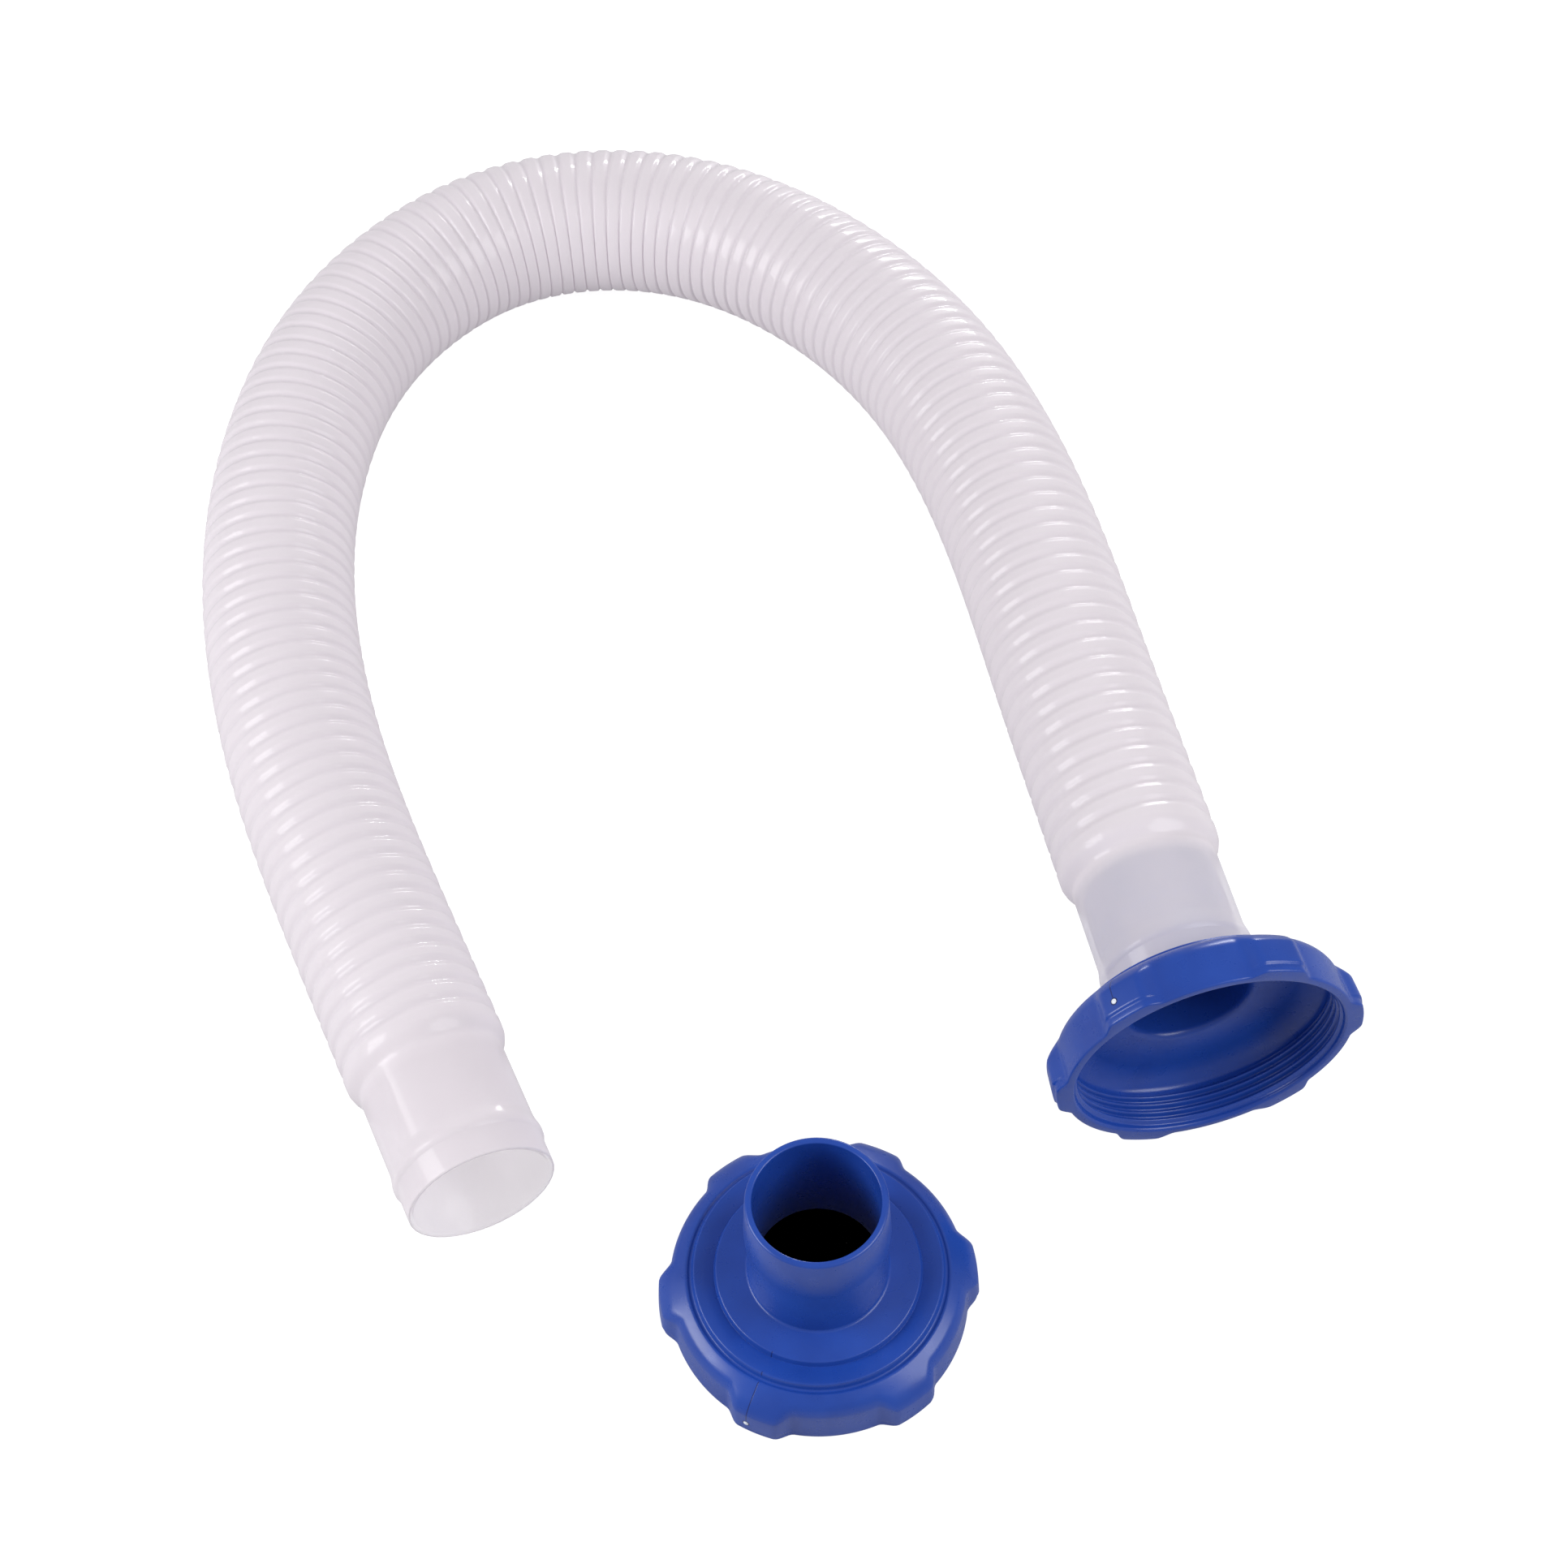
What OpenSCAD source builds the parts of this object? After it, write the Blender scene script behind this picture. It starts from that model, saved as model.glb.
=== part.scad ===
// Pool vacuum hose: a ribbed hose with a plain cuff at each end, one screw-cap hose adapter pushed
// into a cuff and a second one standing loose beside it. Millimetres, +Z up, on the floor z = 0.
// The fitted adapter pulls off along -Y.

/* [Hose] */
// Outer radius over the ribs
hose_r = 23; // [21.5:0.5:27]
// Depth of the grooves between the ribs
groove_depth = 1.2; // [0.6:0.1:2]
// Wall of the hose under a groove
hose_wall = 1; // [0.6:0.1:1.2]
// Rib pitch where the hose runs straight
rib_pitch = 6.4; // [6:0.1:10]
// Bend radius over which the ribs would close up entirely
rib_crowding = 15; // [0:1:20]
// Width of the wide rib that ends the ribbed length
end_rib_w = 10; // [8:0.5:14]
// Length over which the end rib rolls down to the cuff
end_roll = 3; // [2:0.5:4]

/* [Cuffs] */
// Bore radius of the plain end cuffs
cuff_bore_r = 19.2; // [18:0.1:19.6]
// Wall of the cuffs
cuff_wall = 1.6; // [1:0.1:1.8]
// Length of the cuffs beyond the ribs
cuff_len = 39; // [34:1:60]
// Height of the bead round each cuff
bead_h = 0.7; // [0.4:0.1:1.2]
// Width of that bead, most of it a slow rise from the ribbed side
bead_w = 6.8; // [5:0.2:9]
// Width of the bead's flat top
bead_top_w = 1.4; // [0.8:0.2:2.4]
// Distance from the cuff's end to the step that ends the bead
bead_from_end = 8.2; // [6:0.2:12]
// Rounding of the cuff's lip
cuff_lip = 0.5; // [0.2:0.1:0.5]

/* [Adapter barb] */
// Length of the barb and its neck above the cap
barb_len = 37.8; // [32:0.2:50]
// Length of the cylindrical land that grips the hose
land_len = 2.5; // [2:0.5:6]
// Distance from the barb's tip down to that land
land_from_tip = 14; // [10:0.5:18]
// Taper of the barb from the land to its tip, on the radius
tip_taper = 0.7; // [0.3:0.1:1.2]
// Step from the land in to the neck, on the radius
neck_step = 0.5; // [0.3:0.1:0.8]
// Wall of the barb at its tip
barb_wall = 1.85; // [1.4:0.05:2.4]
// Radial clearance of the land in the cuff's bore
barb_fit = 0.05; // [0.02:0.01:0.1]
// Clearance between the cuff's end and the cap
seat_gap = 0.3; // [0.2:0.1:0.5]

/* [Adapter cap] */
// Outer radius of the skirt at its mouth
skirt_r = 40.2; // [38:0.2:50]
// Draft of the skirt, on the radius, from the mouth to the shoulder
skirt_draft = 0.6; // [0.2:0.1:1]
// Height of the skirt up to the shoulder
skirt_h = 11.5; // [10:0.5:13]
// Height of the cap from its mouth to the foot of the neck
cap_h = 19.2; // [18.2:0.2:24]
// Wall of the skirt
skirt_wall = 2.9; // [2.2:0.1:3.4]
// Wall of the cap's face at the neck
face_wall = 1.8; // [1.4:0.1:3]
// How far in from the skirt the outer step ring lies
outer_step_in = 6.2; // [5:0.2:7]
// Width of the outer step ring
outer_step_w = 1.2; // [0.8:0.1:2.5]
// Height of the outer step ring
outer_step_h = 1.2; // [0.6:0.1:1.6]
// How far in from the skirt the inner step ring lies
inner_step_in = 12.1; // [11:0.1:14]
// Width of the inner step ring
inner_step_w = 1; // [0.5:0.1:1.4]
// Height of the inner step ring
inner_step_h = 0.8; // [0.3:0.1:1]
// Rise of the face from the inner step ring to the neck
face_rise = 0.8; // [0.4:0.1:1.4]
// Fillet at the foot of the neck
neck_fillet = 0.8; // [0.4:0.1:1.2]
// Depth of the straight wall that carries the thread
thread_depth = 11.2; // [9:0.2:12]
// Chamfers at the mouth
mouth_chamfer = 0.6; // [0.3:0.1:1]
// Rounding where the bore starts inside the cap
bore_lip = 2.2; // [1:0.1:2.6]

/* [Adapter lugs] */
// Number of grip lugs round the skirt
lug_count = 6; // [4:2:8]
// How far the lugs stand out of the skirt
lug_proud = 3; // [2:0.2:4]
// Width of a lug's crest
lug_crest_w = 12; // [8:0.5:14]
// Width of a lug's foot
lug_foot_w = 20; // [16:0.5:22]
// Height of the step at the mouth end of a lug
lug_step_h = 2.6; // [1.6:0.2:4]
// Depth of that step
lug_step = 0.6; // [0.3:0.1:1]
// Height at which a lug's crest starts to round over to the shoulder
lug_round_h = 9.5; // [8:0.5:10]

/* [Layout] */
// Turn of the fitted adapter about its axis, away from standing on two lugs alike
fitted_turn = -7; // [-30:1:30]
// Place of the loose adapter's axis, across
loose_x = -12.5; // [-20:0.5:-8]
// Place of the loose adapter's axis, along
loose_y = -182; // [-190:1:-170]
// Turn of the loose adapter about its axis
loose_turn = -7; // [-30:1:30]

/* [Hidden] */

HOSE_COLOUR = [0.89, 0.86, 0.89];
CUFF_COLOUR = [0.87, 0.84, 0.87];
CAP_COLOUR = [0.18, 0.28, 0.64];

// Facets: the ribbed tube is a mesh, everything else is revolved
ROUND = 96;
hose_sides = 14;
route_steps = 16;
bore_ring_every = 24;
curve_steps = 6;
dome_steps = 10;
lug_flank_steps = 6;
lug_crest_steps = 4;
lug_bury = 0.4;
heading_reach = 1;
OVER = 1;

// Route of the ribbed length, from the open end round to the fitted one, as the control points of a
// cubic B-spline: x, y and lift, which is 0 where the hose lies on the floor and 1 where its axis is
// as high as the fitted adapter's
ROUTE = [
    [-95.5, -139, 0], [-102, -103, 0], [-108.5, -67, 0], [-115, -31, 0],
    [-120.5, 8, 0], [-122, 48, 0], [-118, 90, 0], [-106, 131, 0],
    [-86, 167, 0], [-55, 194, 0], [-19, 207, 0], [22, 201, 0],
    [56, 177, 0.08], [81, 141, 0.22], [96, 101, 0.42], [102, 57, 0.64],
    [102.5, 13, 0.86], [101, -28, 1], [101, -64, 1], [101, -100, 1],
    [101, -136, 1]
];

// Radii that follow from the driving sizes
facet = cos(180 / hose_sides);
groove_r = hose_r - groove_depth;
hose_bore_r = groove_r - hose_wall;
cuff_r = cuff_bore_r + cuff_wall;
land_r = cuff_bore_r - barb_fit;
neck_r = land_r - neck_step;
tip_r = land_r - tip_taper;
barb_bore_r = tip_r - barb_wall;
mouth_r = skirt_r - skirt_wall;
lug_r = skirt_r + lug_proud;

// Heights in the adapter, from its mouth up
inner_step_z = cap_h - face_rise;
outer_step_z = inner_step_z - inner_step_h;
shoulder_z = outer_step_z - outer_step_h;
seat_z = cap_h + neck_fillet;
tip_z = cap_h + barb_len;
land_z = tip_z - land_from_tip - land_len;

// The hose lies on one flat facet; the fitted adapter stands on its skirt or on its lowest lug
lug_crest_angle = asin(lug_crest_w / 2 / lug_r);
lug_foot_angle = asin(lug_foot_w / 2 / skirt_r);
lug_pitch = 360 / lug_count;
floor_axis_z = hose_r * facet;
lowest_lug_angle = abs(lug_pitch / 2 - abs(fitted_turn));
adapter_axis_z = max(skirt_r, lug_r * cos(max(lowest_lug_angle - lug_crest_angle, 0)));

function unit(v) = v / norm(v);

// Running total of a list, starting at 0
function running(v) = [
    for (i = 0, t = 0; i <= len(v); t = t + (i < len(v) ? v[i] : 0), i = i + 1) t
];

// Quadratic curve from a to c, drawn towards b
function curve(a, b, c, steps) = [
    for (i = [0:steps]) let (t = i / steps) (1 - t) * (1 - t) * a + 2 * t * (1 - t) * b + t * t * c
];

// ---- the hose's route ----

controls = [
    for (p = ROUTE) [p.x, p.y, floor_axis_z + p.z * (adapter_axis_z - floor_axis_z)]
];
spans = len(controls) - 3;

function spline(i, u) = (
    pow(1 - u, 3) * controls[i]
    + (3 * pow(u, 3) - 6 * u * u + 4) * controls[i + 1]
    + (-3 * pow(u, 3) + 3 * u * u + 3 * u + 1) * controls[i + 2]
    + pow(u, 3) * controls[i + 3]
) / 6;

path = [
    for (i = [0:spans - 1], k = [0:route_steps - 1]) spline(i, k / route_steps),
    spline(spans - 1, 1)
];
last = len(path) - 1;
step_len = [for (i = [0:last - 1]) norm(path[i + 1] - path[i])];
along = running(step_len);
route_len = along[last];

// Bend, 1 / radius, at each step of the route
function turn_angle(i) = let (
    before = unit(path[i] - path[i - 1]),
    after = unit(path[i + 1] - path[i])
) 2 * asin(norm(after - before) / 2);
bend = [
    for (i = [0:last - 1]) i == 0 ? 0 : turn_angle(i) * PI / 180 / step_len[i]
];

// Distance counted in straight-run pitches: it runs faster where the bend crowds the ribs
crowded = running([for (i = [0:last - 1]) step_len[i] / (1 - rib_crowding * bend[i])]);

along_to_x = [for (i = [0:last]) [along[i], path[i].x]];
along_to_y = [for (i = [0:last]) [along[i], path[i].y]];
along_to_z = [for (i = [0:last]) [along[i], path[i].z]];
crowded_to_along = [for (i = [0:last]) [crowded[i], along[i]]];

function place(s) = [lookup(s, along_to_x), lookup(s, along_to_y), lookup(s, along_to_z)];
function heading(s) = unit(
    place(min(s + heading_reach, route_len)) - place(max(s - heading_reach, 0))
);

// One ring of the tube, square to the route, with a flat side underneath
function ring(s, r) = let (
    centre = place(s),
    side = unit(cross(heading(s), [0, 0, 1])),
    up = cross(side, heading(s))
) [
    for (k = [0:hose_sides - 1]) let (a = (k + 0.5) * 360 / hose_sides)
        centre + r * (sin(a) * side - cos(a) * up)
];

// ---- the ribs ----

ribs_span = crowded[last] - 2 * end_rib_w;
rib_count = round(ribs_span / rib_pitch);
end_r = cuff_r / facet;
bore_end_r = cuff_bore_r / facet;
end_flank_w = rib_pitch / 4;

function rib_edge(i) = lookup(end_rib_w + ribs_span * i / rib_count, crowded_to_along);

// Outer rings as [distance along the route, radius]: a crest and a groove for each rib
start_rings = [[0, end_r], [end_roll / 2, (end_r + 2 * hose_r) / 3], [end_roll, hose_r]];
outer_rings = concat(
    start_rings,
    [[rib_edge(0) - end_flank_w, hose_r]],
    [for (i = [0:rib_count - 1], crest = [0:1]) [rib_edge(i + crest / 2), crest == 0 ? groove_r : hose_r]],
    [[rib_edge(rib_count), groove_r], [rib_edge(rib_count) + end_flank_w, hose_r]],
    [for (i = [2:-1:0]) [route_len - start_rings[i][0], start_rings[i][1]]]
);

// Rings of the bore, which narrows to the cuffs at both ends
bore_count = round(route_len / bore_ring_every);
bore_rings = concat(
    [[0, bore_end_r], [end_roll, hose_bore_r]],
    [for (i = [1:bore_count - 1]) [route_len * i / bore_count, hose_bore_r]],
    [[route_len - end_roll, hose_bore_r], [route_len, bore_end_r]]
);

// Two triangles for each side between the ring that starts at point a and the one at b
function band(a, b) = [
    for (k = [0:hose_sides - 1], half = [0:1]) let (next = (k + 1) % hose_sides)
        half == 0 ? [a + k, a + next, b + next] : [a + k, b + next, b + k]
];
function bands(first, count) = [
    for (i = [0:count - 2], t = band(first + i * hose_sides, first + (i + 1) * hose_sides)) t
];
function turned(faces) = [for (f = faces) [f[2], f[1], f[0]]];

// Least clear distance between two stretches of the hose that lie more than half a turn apart
gap_every = 4;
gap_away = PI * 2 * hose_r;
gap_points = [for (i = [0:gap_every:last]) i];
least_gap = min([
    for (i = gap_points, j = gap_points) if (along[j] - along[i] > gap_away)
        norm(path[j] - path[i]) - 2 * hose_r
]);
echo(str("Ribs: ", rib_count + 2, ", ribbed length ", route_len, " mm, least gap of the hose to itself ",
    least_gap, " mm"));

module corrugated_hose() {
    outer_points = [for (r = outer_rings, p = ring(r[0], r[1])) p];
    bore_points = [for (r = bore_rings, p = ring(r[0], r[1])) p];
    bore_first = len(outer_points);
    outer_last = bore_first - hose_sides;
    bore_last = bore_first + len(bore_points) - hose_sides;
    color(HOSE_COLOUR)
        polyhedron(
            points = concat(outer_points, bore_points),
            faces = concat(
                bands(0, len(outer_rings)),
                turned(bands(bore_first, len(bore_rings))),
                turned(band(0, bore_first)),
                band(outer_last, bore_last)
            ),
            convexity = 8
        );
}

// ---- the cuffs ----

// A cuff from its ribbed end at z = 0 to its lip
module cuff() {
    bead_end = cuff_len - bead_from_end;
    bead_rise = [
        for (i = [0:curve_steps]) let (t = i / curve_steps)
            [cuff_r + bead_h * (1 - cos(180 * t)) / 2, bead_end - bead_w + t * (bead_w - bead_top_w)]
    ];
    rotate_extrude($fn = ROUND)
        polygon(concat(
            [[cuff_bore_r, 0], [cuff_r, 0]],
            bead_rise,
            [[cuff_r + bead_h, bead_end - bead_h / 2], [cuff_r, bead_end]],
            [[cuff_r, cuff_len - cuff_lip], [cuff_r - cuff_lip, cuff_len], [cuff_bore_r, cuff_len]]
        ));
}

open_way = path[0] - path[1];
fitted_way = path[last] - path[last - 1];
open_yaw = atan2(open_way.y, open_way.x);
fitted_yaw = atan2(fitted_way.y, fitted_way.x);

module open_cuff() {
    color(CUFF_COLOUR)
        translate(path[0])
            rotate([0, 90, open_yaw])
                cuff();
}

module fitted_cuff() {
    color(CUFF_COLOUR)
        translate(path[last])
            rotate([0, 90, fitted_yaw])
                cuff();
}

// ---- the adapters ----

shoulder_foot = [skirt_r - skirt_draft, skirt_h];
outer_step_r = skirt_r - outer_step_in;
inner_step_r = skirt_r - inner_step_in;

// Outline of the whole adapter, as [radius, height] from the mouth to the barb's tip
function body_outline() = concat(
    [[0, 0], [skirt_r - mouth_chamfer, 0], [skirt_r, mouth_chamfer]],
    curve(
        shoulder_foot,
        [skirt_r - 2 * skirt_draft, (skirt_h + 2 * shoulder_z) / 3],
        [outer_step_r, shoulder_z],
        curve_steps
    ),
    [[outer_step_r - outer_step_w, outer_step_z], [inner_step_r, outer_step_z]],
    [[inner_step_r - inner_step_w, inner_step_z], [neck_r + neck_fillet, cap_h]],
    [[neck_r, seat_z], [neck_r, land_z - neck_step], [land_r, land_z], [land_r, land_z + land_len]],
    [[tip_r, tip_z - neck_step], [tip_r - neck_step, tip_z], [0, tip_z]]
);

// Outline of the space inside: threaded mouth, domed floor, rounded start of the bore, bore
function space_outline() = let (floor_z = cap_h - face_wall) concat(
    [[0, -OVER], [mouth_r + mouth_chamfer + OVER, -OVER], [mouth_r, mouth_chamfer]],
    curve(
        [mouth_r, thread_depth],
        [outer_step_r, inner_step_z - face_wall],
        [barb_bore_r + bore_lip, floor_z],
        dome_steps
    ),
    curve(
        [barb_bore_r + bore_lip, floor_z],
        [barb_bore_r, floor_z],
        [barb_bore_r, floor_z + bore_lip],
        curve_steps
    ),
    [[barb_bore_r, tip_z + OVER], [0, tip_z + OVER]]
);

// Cross-section of one lug, standing out along +X, its foot buried in the skirt
function lug_outline() = let (
    flank = [
        for (i = [0:lug_flank_steps]) let (t = i / lug_flank_steps) [
            lug_foot_angle + t * (lug_crest_angle - lug_foot_angle),
            skirt_r - lug_bury + (lug_proud + lug_bury) * (1 - cos(180 * t)) / 2
        ]
    ],
    crest = [
        for (i = [1:lug_crest_steps - 1]) [lug_crest_angle * (1 - 2 * i / lug_crest_steps), lug_r]
    ],
    other_flank = [for (i = [lug_flank_steps:-1:0]) [-flank[i][0], flank[i][1]]]
) concat(
    [for (p = concat(flank, crest, other_flank)) p[1] * [cos(p[0]), sin(p[0])]],
    [[mouth_r + OVER, 0]]
);

// Revolved outline that trims the lugs: stepped in at the mouth, rounded over to the shoulder
function lug_trim() = concat(
    [[0, 0], [lug_r - lug_step - mouth_chamfer, 0], [lug_r - lug_step, mouth_chamfer]],
    [[lug_r - lug_step, lug_step_h - lug_step], [lug_r, lug_step_h]],
    curve(
        [lug_r, lug_round_h],
        [lug_r, (lug_round_h + 2 * shoulder_z) / 3],
        [(skirt_r + outer_step_r) / 2, shoulder_z - outer_step_h],
        curve_steps
    ),
    [[0, shoulder_z - outer_step_h]]
);

module lugs() {
    intersection() {
        for (k = [0:lug_count - 1])
            rotate([0, 0, k * lug_pitch])
                linear_extrude(height = shoulder_z)
                    polygon(lug_outline());
        rotate_extrude($fn = ROUND)
            polygon(lug_trim());
    }
}

// An adapter standing on its mouth, axis on Z, with a lug on +X
module adapter() {
    difference() {
        union() {
            rotate_extrude($fn = ROUND)
                polygon(body_outline());
            lugs();
        }
        rotate_extrude($fn = ROUND)
            polygon(space_outline());
    }
}

module fitted_adapter() {
    mouth_away = cuff_len + seat_gap + seat_z;
    color(CAP_COLOUR)
        translate(path[last] + mouth_away * unit(fitted_way))
            rotate([0, 90, fitted_yaw + 180])
                rotate([0, 0, lug_pitch / 2 + fitted_turn])
                    adapter();
}

module loose_adapter() {
    color(CAP_COLOUR)
        translate([loose_x, loose_y, 0])
            rotate([0, 0, loose_turn])
                adapter();
}

corrugated_hose();
open_cuff();
fitted_cuff();
fitted_adapter();
loose_adapter();
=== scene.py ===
from bisect import bisect
from math import atan2, cos, degrees, pi, radians, sin, tau

import bmesh
import bpy
from mathutils import Matrix, Quaternion, Vector


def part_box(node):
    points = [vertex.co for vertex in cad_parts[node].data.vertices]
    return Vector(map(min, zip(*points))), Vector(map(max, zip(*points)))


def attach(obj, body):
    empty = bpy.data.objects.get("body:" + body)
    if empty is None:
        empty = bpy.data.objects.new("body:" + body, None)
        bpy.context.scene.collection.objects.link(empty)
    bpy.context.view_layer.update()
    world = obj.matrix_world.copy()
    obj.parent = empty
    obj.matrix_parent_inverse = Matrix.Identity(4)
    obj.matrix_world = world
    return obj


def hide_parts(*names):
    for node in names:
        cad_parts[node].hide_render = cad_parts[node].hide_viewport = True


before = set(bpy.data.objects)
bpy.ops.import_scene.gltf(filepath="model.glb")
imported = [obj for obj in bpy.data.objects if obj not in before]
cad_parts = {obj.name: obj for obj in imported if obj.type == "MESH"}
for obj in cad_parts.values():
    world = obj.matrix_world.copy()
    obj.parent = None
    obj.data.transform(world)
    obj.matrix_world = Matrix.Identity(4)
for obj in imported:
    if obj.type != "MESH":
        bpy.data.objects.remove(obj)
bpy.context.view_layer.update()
mm = 0.001
print("frame loaded:", ", ".join(sorted(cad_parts)))


# shader maths as plain expressions

class Wire:  # an output socket; arithmetic on it adds Math nodes
    def __init__(self, board, socket):
        self.board = board
        self.socket = socket

    def maths(self, operation, first, second):
        return self.board.add("ShaderNodeMath", {"operation": operation}, {0: first, 1: second})

    def __add__(self, other):
        return self.maths("ADD", self, other)

    def __radd__(self, other):
        return self.maths("ADD", other, self)

    def __sub__(self, other):
        return self.maths("SUBTRACT", self, other)

    def __rsub__(self, other):
        return self.maths("SUBTRACT", other, self)

    def __mul__(self, other):
        return self.maths("MULTIPLY", self, other)

    def __rmul__(self, other):
        return self.maths("MULTIPLY", other, self)

    def __truediv__(self, other):
        return self.maths("DIVIDE", self, other)

    def __pow__(self, other):
        return self.maths("POWER", self, other)

    def __abs__(self):
        return self.maths("ABSOLUTE", self, 0)

    def above(self, edge, blur):  # 0 below the edge, 1 above it, soft over the blur
        spread = {"interpolation_type": "SMOOTHSTEP"}
        ends = {0: self, 1: edge - blur / 2, 2: edge + blur / 2}
        return self.board.add("ShaderNodeMapRange", spread, ends)


class Board:  # one material's or the world's nodes
    def __init__(self, owner):
        owner.use_nodes = True
        self.owner = owner
        self.tree = owner.node_tree
        self.tree.nodes.clear()

    def add(self, kind, settings=None, values=None, output=0):
        node = self.tree.nodes.new(kind)
        for name, setting in (settings or {}).items():
            setattr(node, name, setting)
        for name, value in (values or {}).items():
            if isinstance(value, Wire):
                self.tree.links.new(value.socket, node.inputs[name])
            else:
                node.inputs[name].default_value = value
        return Wire(self, node.outputs[output]) if node.outputs else None

    def blend(self, share, first, second):  # colours: first where share is 0, second where it is 1
        return self.add("ShaderNodeMix", {"data_type": "RGBA"}, {0: share, 6: first, 7: second}, 2)

    def noise(self, place, scale, detail=2.0, roughness=0.5):
        values = {"Vector": place, "Scale": scale, "Detail": detail, "Roughness": roughness}
        return self.add("ShaderNodeTexNoise", {}, values)

    def bump(self, height, depth, under=None):
        values = {"Height": height, "Distance": depth, "Strength": 1.0}
        if under:
            values["Normal"] = under
        return self.add("ShaderNodeBump", {}, values)

    def finish(self, shader):
        self.add("ShaderNodeOutputMaterial", {}, {"Surface": shader})
        return self.owner


def paint(red, green, blue):  # a colour as a screen shows it, 0 to 255, for a shader's socket
    def light(level):
        share = level / 255
        return share / 12.92 if share <= 0.04045 else ((share + 0.055) / 1.055) ** 2.4
    return (light(red), light(green), light(blue), 1.0)


# the hose's route: control points in metres, with lift 0 on the floor and 1 at the fitted adapter's axis

routePoints = [
    (-0.0955, -0.139, 0), (-0.102, -0.103, 0), (-0.1085, -0.067, 0), (-0.115, -0.031, 0),
    (-0.1205, 0.008, 0), (-0.122, 0.048, 0), (-0.118, 0.090, 0), (-0.106, 0.131, 0),
    (-0.086, 0.167, 0), (-0.055, 0.194, 0), (-0.019, 0.207, 0), (0.022, 0.201, 0),
    (0.056, 0.177, 0.08), (0.081, 0.141, 0.22), (0.096, 0.101, 0.42), (0.102, 0.057, 0.64),
    (0.1025, 0.013, 0.86), (0.101, -0.028, 1), (0.101, -0.064, 1), (0.101, -0.100, 1),
    (0.101, -0.136, 1),
]
routeSteps = 48  # samples in each span of the spline


def midHeight(node):
    low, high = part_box(node)
    return (low.z + high.z) / 2


def sampleRoute():  # places and headings along a cubic B-spline through the control points
    low, high = midHeight("open_cuff"), midHeight("fitted_cuff")
    controls = [Vector((x, y, low + lift * (high - low))) for x, y, lift in routePoints]
    places, headings = [], []
    for first in range(len(controls) - 3):
        around = controls[first:first + 4]
        lastSpan = first == len(controls) - 4
        for step in range(routeSteps + lastSpan):
            u = step / routeSteps
            weights = ((1 - u) ** 3, 3 * u ** 3 - 6 * u * u + 4, 3 * (u + u * u - u ** 3) + 1, u ** 3)
            slopes = (-(1 - u) ** 2, 3 * u * u - 4 * u, 1 + 2 * u - 3 * u * u, u * u)
            places.append(sum((w * p for w, p in zip(weights, around)), Vector()) / 6)
            headings.append(sum((w * p for w, p in zip(slopes, around)), Vector()).normalized())
    return places, headings


def runningTotal(values):
    total = [0.0]
    for value in values:
        total.append(total[-1] + value)
    return total


def lookUp(value, table, results):  # straight-line look-up in a rising table; results may be vectors
    at = min(max(bisect(table, value) - 1, 0), len(table) - 2)
    share = (value - table[at]) / (table[at + 1] - table[at])
    return results[at] * (1 - share) + results[at + 1] * share


def smooth(value, start, end):  # 0 before the start, 1 past the end
    share = min(max((value - start) / (end - start), 0), 1)
    return share * share * (3 - 2 * share)


places, headings = sampleRoute()
stepLengths = [(b - a).length for a, b in zip(places, places[1:])]
along = runningTotal(stepLengths)
routeLength = along[-1]
print("route sampled: ribbed length", round(routeLength / mm, 2), "mm")


# the hose: one moulding with ribs, a wide rib at each end and two plain cuffs

hose = {
    "radius": 23.0,  # over the ribs
    "grooveDepth": 0.65,
    "wall": 0.9,
    "crest": 3.2,  # width of a rib that stays stiff in the bend
    "crestEase": 0.12,  # how far a crest's edges fall before the groove
    "pitch": 6.4,
    "crowding": 15.0,  # bend radius that would close the ribs up
    "endRib": 10.0,
    "endRoll": 5.6,  # length over which the end rib rolls down to the cuff
    "sides": 40,
}
cuff = {
    "radius": 20.8,
    "bore": 19.2,
    "length": 39.0,
    "lip": 0.5,
    "beadHeight": 0.75,
    "beadStart": 15.0,  # from the cuff's end
    "beadTop": 10.0,
    "beadEnd": 8.2,
    "clears": (0.0, 5.0),  # distances from the ribs over which the plastic turns see-through and the fitted cuff takes its painted barb tint and shade
}


def ribStations():  # grooves and stiff bands along the route, in millimetres
    turns = [a.angle(b) for a, b in zip(headings, headings[1:])]
    bends = [turn / step for turn, step in zip(turns, stepLengths)]
    crowded = runningTotal(
        [step / (1 - hose["crowding"] * mm * bend) for step, bend in zip(stepLengths, bends)]
    )
    endRib = hose["endRib"] * mm
    span = crowded[-1] - 2 * endRib
    count = round(span / (hose["pitch"] * mm))
    edges = [lookUp(endRib + span * i / (2 * count), crowded, along) / mm for i in range(2 * count + 1)]
    grooves, crests = edges[::2], edges[1::2]
    half = hose["crest"] / 2
    wallWidth = hose["pitch"] / 2 - half
    length = routeLength / mm
    bands = [(-cuff["length"], grooves[0] - wallWidth)]
    bands += [(crest - half, crest + half) for crest in crests]
    bands += [(grooves[-1] + wallWidth, length + cuff["length"])]
    return grooves, bands


grooves, bands = ribStations()
bandStarts = [band[0] for band in bands]
axes = {}


def axesAt(station):  # place, up, side and heading of the route at a distance in millimetres
    if station not in axes:
        distance = min(max(station * mm, 0), routeLength)
        heading = lookUp(distance, along, headings).normalized()
        side = heading.cross(Vector((0, 0, 1))).normalized()
        place = lookUp(distance, along, places) + heading * (station * mm - distance)
        axes[station] = (place, side.cross(heading), side, heading)
    return axes[station]


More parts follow.
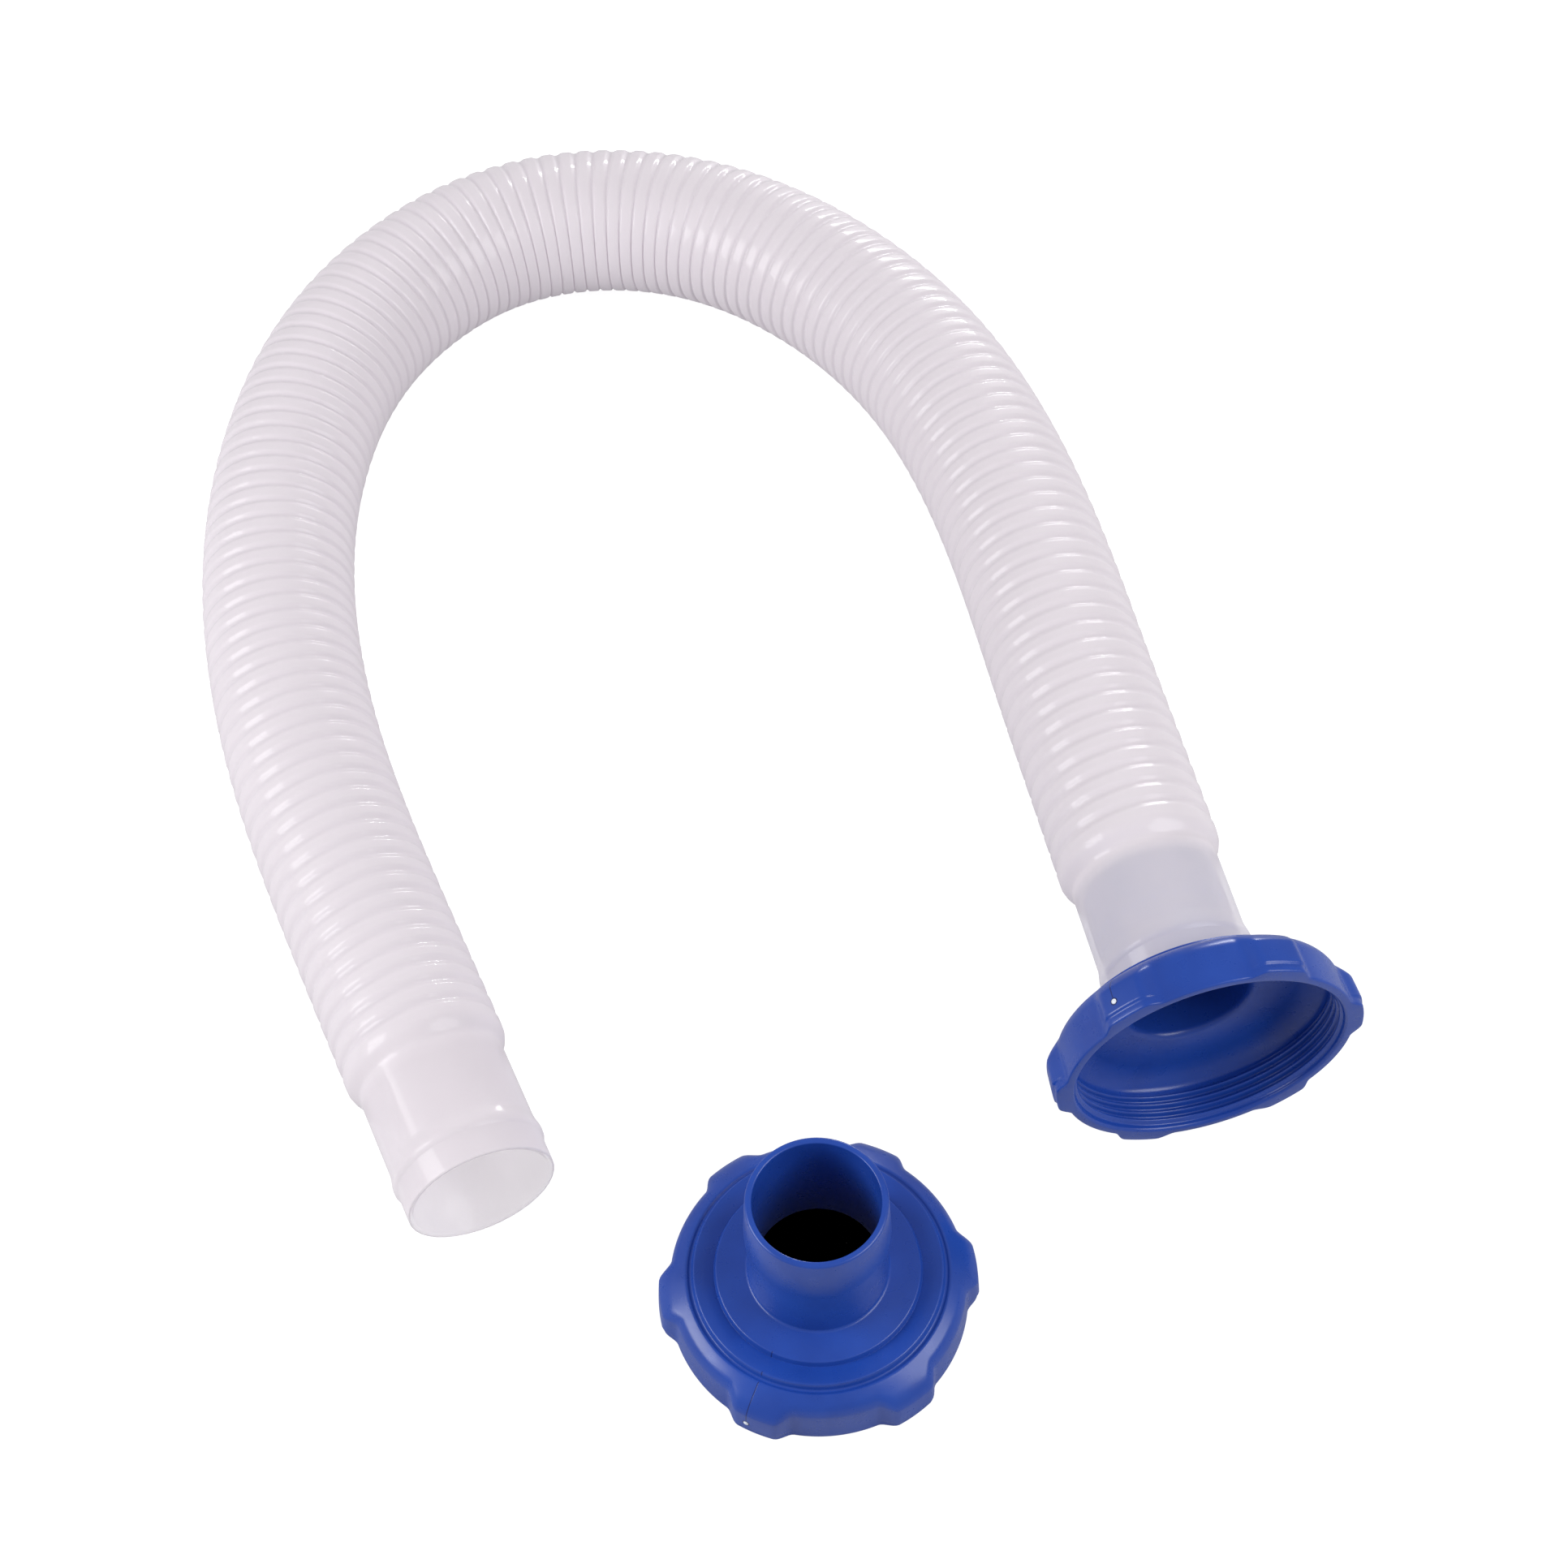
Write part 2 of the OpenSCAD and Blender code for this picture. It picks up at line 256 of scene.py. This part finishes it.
def stiffPoint(band, x, y, z):  # a band keeps its shape whatever the bend
    middle = min(max((band[0] + band[1]) / 2, 0), routeLength / mm)
    place, up, side, heading = axesAt(middle)
    return place + up * x + side * y + heading * (z - middle) * mm


def layOnRoute(co):  # moves a point of the straight hose, axis on Z, to its place on the bend
    station = co.z / mm
    at = max(bisect(bandStarts, station) - 1, 0)
    if station <= bands[at][1] or at == len(grooves):
        return stiffPoint(bands[at], co.x, co.y, station)
    groove = grooves[at]
    place, up, side, _ = axesAt(groove)
    bottom = place + up * co.x + side * co.y
    edge = bands[at][1] if station < groove else bands[at + 1][0]
    rim = stiffPoint(bands[at if station < groove else at + 1], co.x, co.y, edge)
    return bottom.lerp(rim, (station - groove) / (edge - groove))


def hoseOutline():  # (radius, distance along, rib height) in millimetres, outside out and inside back
    crestR = hose["radius"]
    edgeR = crestR - hose["crestEase"]
    depth = hose["grooveDepth"] - hose["crestEase"]
    bore, rim, lip = cuff["bore"], cuff["radius"], cuff["lip"]

    def startOfHose():  # the cuff from its lip to the first stiff crest, outside
        end = -cuff["length"]
        top, height = rim + cuff["beadHeight"], cuff["beadHeight"]
        yield from [(rim - lip, end, 1), (rim - 0.15 * lip, end + 0.15 * lip, 1), (rim, end + lip, 1)]
        yield from [(rim, end + cuff["beadEnd"], 1), (rim + 0.3 * height, end + cuff["beadEnd"] + 0.35, 1)]
        yield from [(top - 0.1 * height, end + cuff["beadTop"] - 0.6, 1), (top, end + cuff["beadTop"], 1)]
        for share in (0.2, 0.45, 0.7, 0.9, 1.0):
            fall = height * (1 - cos(pi * share)) / 2
            yield (top - fall, end + cuff["beadTop"] + share * (cuff["beadStart"] - cuff["beadTop"]), 1)
        yield from [(rim, -past, 1) for past in (5.0, 3.8, 2.5, 1.2)]
        for share in (0, 0.1, 0.2, 0.3, 0.42, 0.56, 0.72, 0.86, 1):  # hollow at its foot, round at its top
            rise = (1 - cos(pi * share ** 0.75)) / 2
            yield (rim + rise * (crestR - rim), share * hose["endRoll"], 1)

    def wall(start, end, falling):
        shares = [(0.2, 0.24), (0.4, 0.52), (0.6, 0.78), (0.8, 0.95)]
        for share, drop in shares if falling else [(1 - s, d) for s, d in reversed(shares)]:
            yield (edgeR - depth * drop, start + share * (end - start), 1 - drop)

    outside = list(startOfHose())
    length = routeLength / mm
    inside = [(bore, lip - cuff["length"], 1), (bore, -5, 1), (bore, -2.5, 1), (bore, 0, 1), (bore + 0.4, 0.6, 1)]
    inside += [(crestR - hose["wall"], hose["endRoll"] + 0.6, 1)]
    grooveBack = edgeR - depth - hose["wall"]
    for index, (start, end) in enumerate(bands):
        if index > 0:
            outside += [(edgeR, start, 1), (crestR - 0.03, start + 0.25, 1), (crestR, start + 0.6, 1)]
            inside += [(crestR - hose["wall"], start + 0.3, 1)]
        if index < len(grooves):
            groove = grooves[index]
            nextStart = bands[index + 1][0]
            outside += [(crestR, end - 0.6, 1), (crestR - 0.03, end - 0.25, 1), (edgeR, end, 1)]
            outside += [*wall(end, groove, True), (edgeR - depth, groove, 0), *wall(groove, nextStart, False)]
            inside += [(crestR - hose["wall"], end - 0.3, 1)]
            inside += [(grooveBack, (end + groove) / 2, 0), (grooveBack, (nextStart + groove) / 2, 0)]
    mirrored = [(r, length - s, h) for r, s, h in reversed(list(startOfHose()))]
    innerEnd = [(r, length - s, h) for r, s, h in reversed(inside[:6])]
    outside += mirrored
    inside += innerEnd
    return outside + inside[::-1]


def drawOutline(rows, layerNames):  # a closed outline in the XZ plane; each row ends in its layers' values
    bm = bmesh.new()
    layers = [bm.verts.layers.float.new(name) for name in layerNames]
    for radius, height, *values in rows:
        vertex = bm.verts.new((radius * mm, 0, height * mm))
        for layer, value in zip(layers, values):
            vertex[layer] = value
    corners = bm.verts[:]
    for a, b in zip(corners, corners[1:] + corners[:1]):
        bm.edges.new((a, b))
    return bm


def revolve(bm, sides):
    bmesh.ops.spin(
        bm, geom=bm.verts[:] + bm.edges[:], cent=(0, 0, 0), axis=(0, 0, 1), angle=tau,
        steps=sides, use_merge=True, use_duplicate=False,
    )


def makePiece(name, bm, materials):
    bm.normal_update()
    bmesh.ops.recalc_face_normals(bm, faces=bm.faces)
    for face in bm.faces:
        face.smooth = True
    mesh = bpy.data.meshes.new(name)
    bm.to_mesh(mesh)
    bm.free()
    for material in materials:
        mesh.materials.append(material)
    piece = bpy.data.objects.new(name, mesh)
    bpy.context.scene.collection.objects.link(piece)
    print(name, "made:", len(mesh.polygons), "faces")
    return piece


softPlastic = {
    "colour": paint(217, 210, 216),
    "shade": paint(213, 206, 212),
    # painted shade: the colour of the groove bottoms, darker than the crests
    "groove": paint(208, 201, 208),
    "paintedBarbTint": paint(198, 196, 208),  # painted tint and shade where the blue barb shows through
    "glow": 0.15,  # stands for light that passes through the wall
    "roughness": 0.45,
    "specular": 0.2,
    "coat": 0.28,
    "coatRoughness": 0.07,
}
cuffAlphas = {
    # opacity of each surface, seen from its front and from its back
    "openCuff": (0.86, 0.4),
    "openBore": (0.5, 0.4),
    "fittedCuff": (0.84, 0.3),
    "fittedBore": (0.6, 0.0),
}


def softPlasticMaterial(name, front=1.0, back=1.0, glow=softPlastic["glow"], paintedBarbTint=softPlastic["colour"]):
    board = Board(bpy.data.materials.new(name))
    alpha, pale = 1.0, softPlastic["colour"]
    if front < 1:
        behind = board.add("ShaderNodeNewGeometry", {}, {}, "Backfacing")
        clear = board.add("ShaderNodeAttribute", {"attribute_name": "clearness"}, {}, 2)
        alpha = 1 - clear * (1 - front + (front - back) * behind)
        # painted tint and shade of the barb, laid on where the plastic turns see-through
        pale = board.blend(clear, pale, paintedBarbTint)
    place = board.add("ShaderNodeTexCoord", {}, {}, 3)
    rib = board.add("ShaderNodeAttribute", {"attribute_name": "ribHeight"}, {}, 2)
    clouds = board.noise(place, 38.0, 3.0)
    specks = board.noise(place, 900.0, 2.0)
    body = board.blend(0.25 + 0.5 * clouds.above(0.5, 0.5), softPlastic["shade"], pale)
    # painted shade: each groove turns darker towards its bottom, following the rib height
    colour = board.blend(0.5 * (1 - rib), body, softPlastic["groove"])
    rough = softPlastic["roughness"] + 0.12 * (board.noise(place, 160.0, 4.0) - 0.5)
    grain = board.bump(specks, 0.00003)
    shader = board.add("ShaderNodeBsdfPrincipled", {}, {
        "Base Color": colour, "Roughness": rough, "Normal": grain, "Alpha": alpha,
        "IOR": 1.5, "Specular IOR Level": softPlastic["specular"],
        "Coat Weight": softPlastic["coat"], "Coat Roughness": softPlastic["coatRoughness"],
        "Subsurface Weight": 0.2, "Subsurface Radius": (0.003, 0.0027, 0.003), "Subsurface Scale": 1.0,
        "Emission Color": softPlastic["colour"], "Emission Strength": glow,
    })
    return board.finish(shader)


def makeHose():
    bm = drawOutline(hoseOutline(), ["ribHeight"])
    revolve(bm, hose["sides"])
    clearness = bm.verts.layers.float.new("clearness")
    for vertex in bm.verts:  # the plastic turns see-through over the first stretch of each cuff, where the fitted cuff also takes its painted barb tint and shade
        past = max(-vertex.co.z, vertex.co.z - routeLength) / mm
        vertex[clearness] = smooth(past, *cuff["clears"])
    boreLimit = (cuff["bore"] + cuff["radius"]) * mm / 2
    for face in bm.faces:
        middle = face.calc_center_median()
        inner = middle.xy.length < boreLimit
        if middle.z < 0:
            face.material_index = 2 if inner else 1
        elif middle.z > routeLength:
            face.material_index = 4 if inner else 3
    for vertex in bm.verts:
        vertex.co = layOnRoute(vertex.co)
        vertex.co.z = max(vertex.co.z, 0)  # it settles a little where it lies on the floor
    finishes = [
        softPlasticMaterial("hosePlastic"),
        softPlasticMaterial("openCuffPlastic", *cuffAlphas["openCuff"]),
        softPlasticMaterial("openBorePlastic", *cuffAlphas["openBore"], glow=0.24),
        softPlasticMaterial("fittedCuffPlastic", *cuffAlphas["fittedCuff"], paintedBarbTint=softPlastic["paintedBarbTint"]),
        softPlasticMaterial("fittedBorePlastic", *cuffAlphas["fittedBore"]),
    ]
    piece = makePiece("hoseMoulding", bm, finishes)
    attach(piece, "hose")
    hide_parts("corrugated_hose", "open_cuff", "fitted_cuff")
    openEnd = places[0] - headings[0] * cuff["length"] * mm
    fittedEnd = places[-1] + headings[-1] * cuff["length"] * mm
    centreline = [fittedEnd, *places[::-routeSteps], openEnd]
    lengths = [(b - a).length for a, b in zip(centreline, centreline[1:])]
    routeLength + 2 * cuff["length"] * mm
    print("hose's centreline:", round(sum(lengths), 4), "m")
    return piece


# the adapter: a screw cap with grip lugs, a stepped face and a tapered barb

adapter = {
    "skirt": 40.2,
    "mouth": 37.3,  # radius of the wall that carries the thread
    "lugs": 6,
    "lugProud": 3.0,
    "lugCrest": 7.8,  # half angle of a lug's flat crest, degrees
    "lugFoot": 14.0,  # half angle of its foot
    "lugStepHeight": 2.6,
    "lugStep": 0.55,
    "shoulderSlope": 0.6,  # fall of the shoulder for each millimetre outwards
    "threadPitch": 2.4,
    "threadDepth": 1.3,
    "threadFrom": 1.5,
    "threadTo": 11.3,
    "threadPhase": 0.8,  # where the first crest starts, in turns
    "sides": 360,
    "turn": -7.0,  # both adapters lie turned alike about their axes, degrees
}
# corners as (radius, height, rounding, outside); the rounding is measured along the edges
adapterCorners = [
    (37.9, 0.0, 0.3, 0), (40.2, 0.0, 0.6, 1), (39.5, 13.4, 2.6, 1), (35.0, 16.1, 0.5, 1),
    (34.2, 15.5, 0.4, 0), (33.6, 15.8, 0.3, 0), (33.1, 17.75, 0.32, 0), (31.2, 17.7, 1.4, 0),
    (28.5, 17.0, 0.9, 0), (27.7, 16.8, 0.35, 0), (27.15, 18.5, 0.3, 0), (18.65, 19.2, 0.8, 0),
    (18.65, 40.0, 0.3, 0), (19.15, 40.5, 0.25, 0), (19.15, 43.0, 1.0, 0), (18.45, 57.0, 0.7, 0),
    (16.6, 57.0, 0.5, 0), (16.6, 17.4, 2.0, 0), (33.6, 15.9, 4.0, 0), (37.3, 12.4, 0.9, 0),
    (37.3, 0.6, 0.3, 0),
]
skirtRows = [1.4, 2.0, 2.3, 2.6, 2.9, 3.3, 4.6, 6.0, 7.5, 9.0]


def adapterOutline():
    bm = drawOutline(adapterCorners, ["rounding", "outside"])
    rounding = bm.verts.layers.float["rounding"]
    corners = bm.verts[:]
    skirtFoot, skirtTop = corners[1], corners[2]
    threadTop, threadFoot = corners[-2], corners[-1]
    for corner in corners:
        if corner[rounding] > 0:
            segments = 8 if corner[rounding] > 2 else 4
            bmesh.ops.bevel(
                bm, geom=[corner], offset=corner[rounding] * mm, offset_type="OFFSET",
                segments=segments, profile=0.5, affect="VERTICES", material=-1,
            )
    bm.verts.ensure_lookup_table()
    skirt = longestEdge(bm, lambda v: v.co.x > (adapter["skirt"] - 1) * mm and v.co.z < 13.7 * mm)
    divideEdge(bm, skirt, skirtRows)
    threadRows = [adapter["threadFrom"] + 0.2 * i for i in range(50)]
    wall = longestEdge(bm, lambda v: abs(v.co.x - adapter["mouth"] * mm) < 0.01 * mm)
    divideEdge(bm, wall, threadRows)
    return bm


def longestEdge(bm, test):
    found = [e for e in bm.edges if all(test(v) for v in e.verts)]
    return max(found, key=lambda e: e.calc_length())


def divideEdge(bm, edge, heights):  # splits a rising edge at each of these heights
    low, high = sorted(edge.verts, key=lambda v: v.co.z)
    for height in heights:
        share = (height * mm - low.co.z) / (high.co.z - low.co.z)
        edge, low = bmesh.utils.edge_split(bm.edges.get((low, high)), low, share)


def lugMask(angle):
    pitch = 360 / adapter["lugs"]
    off = abs((angle + pitch / 2) % pitch - pitch / 2)
    return 1 - smooth(off, adapter["lugCrest"] - 1, adapter["lugFoot"])


def raiseLug(vertex):
    radius, height = vertex.co.xy.length / mm, vertex.co.z / mm
    shoulder = adapterCorners[3][0]
    reach = min(max((radius - shoulder) / (adapter["skirt"] - 0.7 - shoulder), 0), 1)
    mask = lugMask(degrees(atan2(vertex.co.y, vertex.co.x)))
    stepTop = adapter["lugStepHeight"]
    step = adapter["lugStep"] * (1 - smooth(height, stepTop - 0.3, stepTop + 0.3))
    out = (adapter["lugProud"] - step) * reach * mask
    vertex.co.xy *= (radius + out) / radius
    vertex.co.z -= adapter["shoulderSlope"] * out * smooth(height, 5.0, 13.0) * mm


def cutThread(vertex):
    radius, height = vertex.co.xy.length / mm, vertex.co.z / mm
    turn = atan2(vertex.co.y, vertex.co.x) / tau
    off = (height / adapter["threadPitch"] - turn - adapter["threadPhase"] + 0.5) % 1 - 0.5
    ridge = smooth(off, 0.2, 0.04) if off > 0 else smooth(off, -0.46, -0.06)  # steep on its far side
    fade = smooth(height, adapter["threadFrom"] - 0.1, adapter["threadFrom"] + 0.8)
    fade *= smooth(height, adapter["threadTo"] + 0.2, adapter["threadTo"] - 0.6)
    vertex.co.xy *= (radius - adapter["threadDepth"] * ridge * fade) / radius


gate = {
    "angle": 237.0,  # just beside the middle of a lug, degrees
    "height": 5.6,
    "radius": 0.75,
    "proud": 0.35,
    "ring": 0.3,  # width of the dark ring round it
    "line": 0.14,  # half width of the flow line
}


def addGate(bm, marks):  # the small pale nub left where the mould was filled
    lugRadius = adapter["skirt"] - 0.7 * gate["height"] / 13.4 + adapter["lugProud"]
    outward = Matrix.Rotation(radians(gate["angle"]), 4, "Z") @ Matrix.Translation(
        (lugRadius * mm, 0, gate["height"] * mm)) @ Matrix.Rotation(radians(90), 4, "Y")
    squeeze = Matrix.Diagonal((1, 1, gate["proud"] / gate["radius"], 1))
    nub = bmesh.ops.create_uvsphere(
        bm, u_segments=20, v_segments=10, radius=gate["radius"] * mm, matrix=outward @ squeeze)
    for vertex in nub["verts"]:
        vertex[marks] = 1


bluePlastic = {
    "colour": paint(33, 75, 172),
    "deep": paint(28, 65, 156),
    "gate": paint(232, 238, 248),
    "line": paint(12, 24, 80),
    "roughness": 0.29,
    "specular": 0.5,
}


def bluePlasticMaterial():
    board = Board(bpy.data.materials.new("capPlastic"))
    place = board.add("ShaderNodeAttribute", {"attribute_name": "mouldPlace"}, {}, 1)
    nub = board.add("ShaderNodeAttribute", {"attribute_name": "gateNub"}, {}, 2)
    clouds = board.noise(place, 55.0, 3.0)
    flow = board.noise(place, 260.0, 4.0)
    body = board.blend(clouds.above(0.5, 0.6), bluePlastic["deep"], bluePlastic["colour"])
    # the flow line runs from the gate up the shoulder and crosses both step rings
    turned = board.add("ShaderNodeVectorRotate", {"rotation_type": "Z_AXIS"},
                       {"Vector": place, "Angle": -radians(gate["angle"])})
    split = board.add("ShaderNodeSeparateXYZ", {}, {"Vector": turned})
    outward, across, height = [Wire(board, socket) for socket in split.socket.node.outputs]
    near = 1 - abs(across).above(gate["line"] * mm, 0.08 * mm)
    onShoulder = outward.above(35.0 * mm, 0.3 * mm) * height.above((gate["height"] + 1) * mm, 0.4 * mm)
    ringOne = outward.above(32.7 * mm, 0.1 * mm) * (1 - outward.above(33.7 * mm, 0.1 * mm))
    ringTwo = outward.above(26.8 * mm, 0.1 * mm) * (1 - outward.above(27.8 * mm, 0.1 * mm))
    top = height.above(16.6 * mm, 0.2 * mm)
    line = near * (onShoulder + top * (ringOne + ringTwo))
    rise = height - gate["height"] * mm
    off = (across * across + rise * rise) ** 0.5
    spot = (1 - off.above((gate["radius"] + gate["ring"]) * mm, 0.15 * mm)) * outward.above(41 * mm, mm)
    marked = board.blend(0.75 * line + 0.85 * spot, body, bluePlastic["line"])
    colour = board.blend(nub, marked, bluePlastic["gate"])
    rough = bluePlastic["roughness"] + 0.14 * (flow - 0.5)
    grain = board.bump(0.3 * board.noise(place, 500.0, 2.0) - 0.8 * line, 0.00002)
    shader = board.add("ShaderNodeBsdfPrincipled", {}, {
        "Base Color": colour, "Roughness": rough, "Normal": grain,
        "IOR": 1.5, "Specular IOR Level": bluePlastic["specular"],
    })
    return board.finish(shader)


def makeAdapter(name, node, body, placement, material):
    bm = adapterOutline()
    revolve(bm, adapter["sides"])
    outside = bm.verts.layers.float["outside"]
    for vertex in bm.verts:
        onWall = vertex.co.xy.length < (adapter["mouth"] + 0.02) * mm
        if vertex[outside] > 0.5:
            raiseLug(vertex)
        elif onWall and adapter["threadFrom"] - 0.2 < vertex.co.z / mm < adapter["threadTo"] + 0.4:
            cutThread(vertex)
    marks = bm.verts.layers.float.new("gateNub")
    addGate(bm, marks)
    mould = bm.verts.layers.float_vector.new("mouldPlace")
    for vertex in bm.verts:
        vertex[mould] = vertex.co
    bmesh.ops.transform(bm, matrix=placement, verts=bm.verts)
    piece = makePiece(name, bm, [material])
    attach(piece, body)
    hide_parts(node)
    return piece


def placeAdapters():
    material = bluePlasticMaterial()
    turned = Matrix.Rotation(radians(adapter["turn"]), 4, "Z")
    low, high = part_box("fitted_adapter")
    fitted = Matrix.Translation(((low.x + high.x) / 2, low.y, (low.z + high.z) / 2))
    fitted @= Matrix.Rotation(radians(-90), 4, "X") @ turned
    makeAdapter("fittedAdapter", "fitted_adapter", "fitted_adapter", fitted, material)
    low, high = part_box("loose_adapter")
    loose = Matrix.Translation(((low.x + high.x) / 2, (low.y + high.y) / 2, low.z)) @ turned
    makeAdapter("looseAdapter", "loose_adapter", "loose_adapter", loose, material)


# camera, floor and light

view = {
    "azimuth": -11.766,  # degrees round from straight along +Y
    "elevation": 56.0,
    "roll": -2.0,
    "distance": 0.9134,
    "target": (0.017, -0.018, 0),
    "lens": 69.91,
}
studio = {
    "floorSize": 12.0,
    "floorColour": paint(206, 206, 208),
    "floorSeen": 0.42,  # how much of its own shade the floor shows
    "floorGlow": 0.9,
    "boreReach": 0.06,  # how far up the floor looks for what covers it, for the painted shade under the loose adapter, metres
    "ambient": 0.36,
}
lamps = [
    # name, place, aimed at, width, depth, spin in degrees, radiance
    ("backStrip", (0.57, 1.0, 0.26), (0.0, 0.0, 0.0), 0.5, 0.1, 50, 28.0),
    ("leftSoftbox", (-1.05, -0.05, 0.64), (0.0, -0.1, 0.0), 0.7, 0.6, 0, 7.0),
    ("rightSoftbox", (0.85, -0.6, 0.9), (0.0, -0.1, 0.0), 0.7, 0.9, 0, 4.8),
]


def makeCamera():
    azimuth, elevation = radians(view["azimuth"]), radians(view["elevation"])
    back = Vector((sin(azimuth) * cos(elevation), -cos(azimuth) * cos(elevation), sin(elevation)))
    camera = bpy.data.objects.new("camera", bpy.data.cameras.new("camera"))
    camera.data.lens = view["lens"]
    camera.data.sensor_width = 36
    camera.data.clip_start, camera.data.clip_end = 0.01, 100
    camera.location = Vector(view["target"]) + back * view["distance"]
    camera.rotation_mode = "QUATERNION"
    roll = Quaternion((0, 0, 1), radians(view["roll"]))
    camera.rotation_quaternion = back.to_track_quat("Z", "Y") @ roll
    bpy.context.scene.collection.objects.link(camera)
    bpy.context.scene.camera = camera


def makeStudio():
    bm = bmesh.new()
    bmesh.ops.create_grid(bm, x_segments=8, y_segments=8, size=studio["floorSize"] / 2)
    board = Board(bpy.data.materials.new("studioFloor"))
    matt = board.add("ShaderNodeBsdfDiffuse", {}, {"Color": studio["floorColour"]})
    camera = board.add("ShaderNodeLightPath", {}, {}, "Is Camera Ray")
    glow = board.add("ShaderNodeEmission", {}, {"Color": (1, 1, 1, 1), "Strength": studio["floorGlow"]})
    seen = board.add("ShaderNodeMixShader", {}, {0: studio["floorSeen"], 2: matt})
    seen = board.add("ShaderNodeAddShader", {}, {0: seen, 1: glow})
    # painted shade: under the loose adapter, where the AO node finds the floor enclosed, the floor is made black,
    # as dark as its bore while the adapter stands on it
    low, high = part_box("loose_adapter")
    centre = ((low.x + high.x) / 2, (low.y + high.y) / 2, 0)
    place = board.add("ShaderNodeTexCoord", {}, {}, 3)
    away = board.add("ShaderNodeVectorMath", {"operation": "DISTANCE"}, {0: place, 1: centre}, "Value")
    under = 1 - away.above((adapter["mouth"] - 1) * mm, 0.5 * mm)
    values = {"Distance": studio["boreReach"]}
    covered = 1 - board.add("ShaderNodeAmbientOcclusion", {"samples": 12}, values, "AO").above(0.3, 0.08)
    shaded = board.add("ShaderNodeMixShader", {}, {0: covered, 1: seen})
    seen = board.add("ShaderNodeMixShader", {}, {0: under, 1: seen, 2: shaded})
    material = board.finish(board.add("ShaderNodeMixShader", {}, {0: camera, 1: matt, 2: seen}))
    floor = makePiece("studioFloor", bm, [material])
    world = bpy.data.worlds.new("studioWorld")
    bpy.context.scene.world = world
    sky = Board(world)
    seen = sky.add("ShaderNodeLightPath", {}, {}, "Is Camera Ray")
    strength = studio["ambient"] + seen * (1 - studio["ambient"])
    light = sky.add("ShaderNodeBackground", {}, {"Color": (1, 1, 1, 1), "Strength": strength})
    sky.add("ShaderNodeOutputWorld", {}, {"Surface": light})
    for name, place, aim, width, depth, spin, radiance in lamps:
        lamp = bpy.data.lights.new(name, "AREA")
        lamp.shape = "RECTANGLE"
        lamp.size, lamp.size_y = width, depth
        lamp.energy = radiance * pi * width * depth
        holder = bpy.data.objects.new(name, lamp)
        holder.location = place
        holder.rotation_mode = "QUATERNION"
        aimed = (Vector(aim) - Vector(place)).to_track_quat("-Z", "Y")
        holder.rotation_quaternion = aimed @ Quaternion((0, 0, 1), radians(spin))
        bpy.context.scene.collection.objects.link(holder)
    print("studio set up")


makeCamera()
makeHose()
placeAdapters()
makeStudio()
bpy.context.scene.view_settings.view_transform = "Standard"
